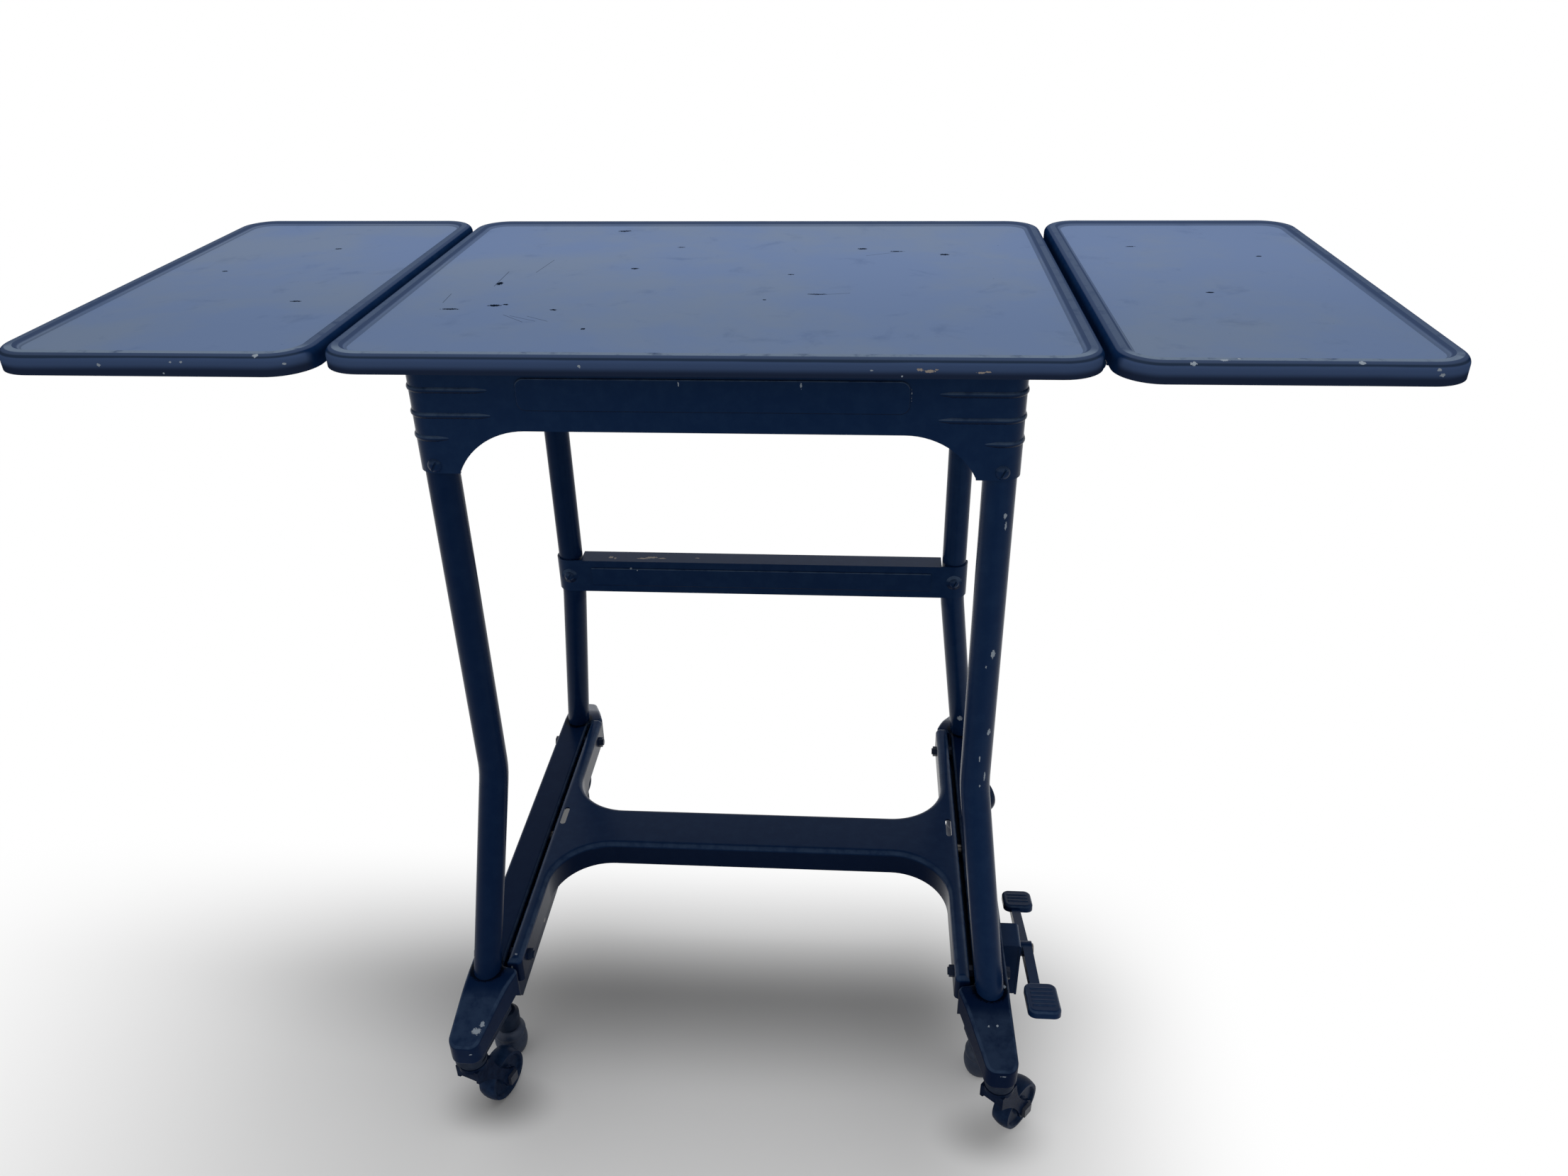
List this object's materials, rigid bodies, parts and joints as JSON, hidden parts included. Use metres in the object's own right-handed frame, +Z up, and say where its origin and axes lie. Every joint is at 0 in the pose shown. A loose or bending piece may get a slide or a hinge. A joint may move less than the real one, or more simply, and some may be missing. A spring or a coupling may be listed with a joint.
{
  "type": "typewriter table",
  "caption": "Drop-leaf pressed-steel typewriter table on swivel casters, with a foot pedal that lowers feet to the floor.",
  "frame": {"origin": "on the floor under the middle of the table", "axes": "+X towards the right-hand leaf and the pedal side, +Y away from the user, +Z up"},
  "size_m": [0.891, 0.471, 0.653],
  "materials": {
    "navy_paint": "semi-gloss enamel, dark slate blue, chipped at edges",
    "bare_steel": "dull bare steel, lightly oiled",
    "worn_steel": "painted once, now worn and rusty",
    "black_rubber": "matt",
    "wheel_composition": "hard wheel composition, dull gloss"
  },
  "bodies": {
    "frame": {"base_bolts": "navy_paint", "base_nuts": "navy_paint", "base_plate": "navy_paint", "caster_sockets": "worn_steel", "centre_hinges": "navy_paint", "centre_top": "navy_paint", "cross_rail": "navy_paint", "cross_rail_screws": "navy_paint", "foot_guides": "bare_steel", "front_apron": "navy_paint", "front_left_leg": "navy_paint", "front_right_leg": "navy_paint", "guide_studs": "bare_steel", "hinge_pins": "bare_steel", "left_rail": "navy_paint", "left_side_apron": "navy_paint", "leg_screws": "navy_paint", "pedal_bracket": "navy_paint", "rear_apron": "navy_paint", "rear_left_leg": "navy_paint", "rear_right_leg": "navy_paint", "right_rail": "navy_paint", "right_side_apron": "navy_paint", "stay_stud_brackets": "navy_paint"},
    "left_flap": {"left_leaf": "navy_paint", "left_leaf_hinges": "navy_paint", "left_leaf_stay_bracket": "navy_paint"},
    "right_flap": {"right_leaf": "navy_paint", "right_leaf_hinges": "navy_paint", "right_leaf_stay_bracket": "navy_paint"},
    "left_stay_link": {"left_stay": "navy_paint"},
    "right_stay_link": {"right_stay": "navy_paint"},
    "pedal_rocker": {"pedal": "navy_paint", "pedal_shaft": "bare_steel"},
    "right_slide_bar": {"right_cam_bar": "bare_steel"},
    "left_slide_bar": {"left_cam_bar": "bare_steel"},
    "cross_link": {"cross_shaft": "bare_steel"},
    "front_left_plunger": {"front_left_foot": "worn_steel", "front_left_foot_tip": "black_rubber"},
    "front_left_swivel": {"front_left_caster_fork": "navy_paint", "front_left_caster_axle": "bare_steel"},
    "front_left_roller": {"front_left_caster_wheel": "wheel_composition"},
    "front_right_plunger": {"front_right_foot": "worn_steel", "front_right_foot_tip": "black_rubber"},
    "front_right_swivel": {"front_right_caster_fork": "navy_paint", "front_right_caster_axle": "bare_steel"},
    "front_right_roller": {"front_right_caster_wheel": "wheel_composition"},
    "rear_left_plunger": {"rear_left_foot": "worn_steel", "rear_left_foot_tip": "black_rubber"},
    "rear_left_swivel": {"rear_left_caster_fork": "navy_paint", "rear_left_caster_axle": "bare_steel"},
    "rear_left_roller": {"rear_left_caster_wheel": "wheel_composition"},
    "rear_right_plunger": {"rear_right_foot": "worn_steel", "rear_right_foot_tip": "black_rubber"},
    "rear_right_swivel": {"rear_right_caster_fork": "navy_paint", "rear_right_caster_axle": "bare_steel"},
    "rear_right_roller": {"rear_right_caster_wheel": "wheel_composition"}
  },
  "joints": [
    {"name": "left_leaf_fold", "type": "hinge", "parent": "frame", "child": "left_flap", "pos_m": [-0.2395, 0, 0.6345], "axis": [0, -1, 0], "range_deg": [0, 90]},
    {"name": "right_leaf_fold", "type": "hinge", "parent": "frame", "child": "right_flap", "pos_m": [0.2395, 0, 0.6345], "axis": [0, 1, 0], "range_deg": [0, 90]},
    {"name": "left_stay_turn", "type": "hinge", "parent": "left_flap", "child": "left_stay_link", "pos_m": [-0.2955, 0, 0.6225], "axis": [0, -1, 0], "range_deg": [-90, 0]},
    {"name": "right_stay_turn", "type": "hinge", "parent": "right_flap", "child": "right_stay_link", "pos_m": [0.2955, 0, 0.6225], "axis": [0, 1, 0], "range_deg": [-90, 0]},
    {"name": "pedal_rock", "type": "hinge", "parent": "frame", "child": "pedal_rocker", "pos_m": [0.2208, -0.108, 0.105], "axis": [1, 0, 0], "range_deg": [0, 24.8]},
    {"name": "right_bar_slide", "type": "slide", "parent": "frame", "child": "right_slide_bar", "axis": [0, 1, 0], "range_m": [0, 0.0146]},
    {"name": "left_bar_slide", "type": "slide", "parent": "frame", "child": "left_slide_bar", "axis": [0, 1, 0], "range_m": [0, 0.0146]},
    {"name": "cross_shaft_turn", "type": "hinge", "parent": "frame", "child": "cross_link", "pos_m": [0, 0, 0.117], "axis": [1, 0, 0], "range_deg": [0, 18.27]},
    {"name": "front_left_foot_drop", "type": "slide", "parent": "frame", "child": "front_left_plunger", "axis": [0, 0, -1], "range_m": [0, 0.006]},
    {"name": "front_right_foot_drop", "type": "slide", "parent": "frame", "child": "front_right_plunger", "axis": [0, 0, -1], "range_m": [0, 0.006]},
    {"name": "rear_left_foot_drop", "type": "slide", "parent": "frame", "child": "rear_left_plunger", "axis": [0, 0, -1], "range_m": [0, 0.006]},
    {"name": "rear_right_foot_drop", "type": "slide", "parent": "frame", "child": "rear_right_plunger", "axis": [0, 0, -1], "range_m": [0, 0.006]},
    {"name": "front_left_caster_swivel", "type": "hinge", "parent": "frame", "child": "front_left_swivel", "pos_m": [-0.2126, -0.218, 0.071], "axis": [0, 0, 1], "continuous": true},
    {"name": "front_left_wheel_roll", "type": "hinge", "parent": "front_left_swivel", "child": "front_left_roller", "pos_m": [-0.20302, -0.19169, 0.022], "axis": [0.9397, -0.342, 0], "continuous": true},
    {"name": "front_right_caster_swivel", "type": "hinge", "parent": "frame", "child": "front_right_swivel", "pos_m": [0.2126, -0.218, 0.071], "axis": [0, 0, 1], "continuous": true},
    {"name": "front_right_wheel_roll", "type": "hinge", "parent": "front_right_swivel", "child": "front_right_roller", "pos_m": [0.2306, -0.19655, 0.022], "axis": [0.766, -0.6428, 0], "continuous": true},
    {"name": "rear_left_caster_swivel", "type": "hinge", "parent": "frame", "child": "rear_left_swivel", "pos_m": [-0.2126, 0.218, 0.071], "axis": [0, 0, 1], "continuous": true},
    {"name": "rear_left_wheel_roll", "type": "hinge", "parent": "rear_left_swivel", "child": "rear_left_roller", "pos_m": [-0.22443, 0.19262, 0.022], "axis": [-0.9063, 0.4226, 0], "continuous": true},
    {"name": "rear_right_caster_swivel", "type": "hinge", "parent": "frame", "child": "rear_right_swivel", "pos_m": [0.2126, 0.218, 0.071], "axis": [0, 0, 1], "continuous": true},
    {"name": "rear_right_wheel_roll", "type": "hinge", "parent": "rear_right_swivel", "child": "rear_right_roller", "pos_m": [0.2306, 0.19655, 0.022], "axis": [-0.766, -0.6428, 0], "continuous": true}
  ],
  "couplings": [
    {"joint": "left_stay_turn", "follows": "left_leaf_fold", "ratio": -1},
    {"joint": "right_stay_turn", "follows": "right_leaf_fold", "ratio": -1},
    {"joint": "right_bar_slide", "follows": "pedal_rock", "m_per_rad": 0.033735},
    {"joint": "left_bar_slide", "follows": "pedal_rock", "m_per_rad": 0.033735},
    {"joint": "cross_shaft_turn", "follows": "pedal_rock", "ratio": 0.73649},
    {"joint": "front_left_foot_drop", "follows": "pedal_rock", "m_per_rad": 0.013861},
    {"joint": "front_right_foot_drop", "follows": "pedal_rock", "m_per_rad": 0.013861},
    {"joint": "rear_left_foot_drop", "follows": "pedal_rock", "m_per_rad": 0.013861},
    {"joint": "rear_right_foot_drop", "follows": "pedal_rock", "m_per_rad": 0.013861}
  ]
}
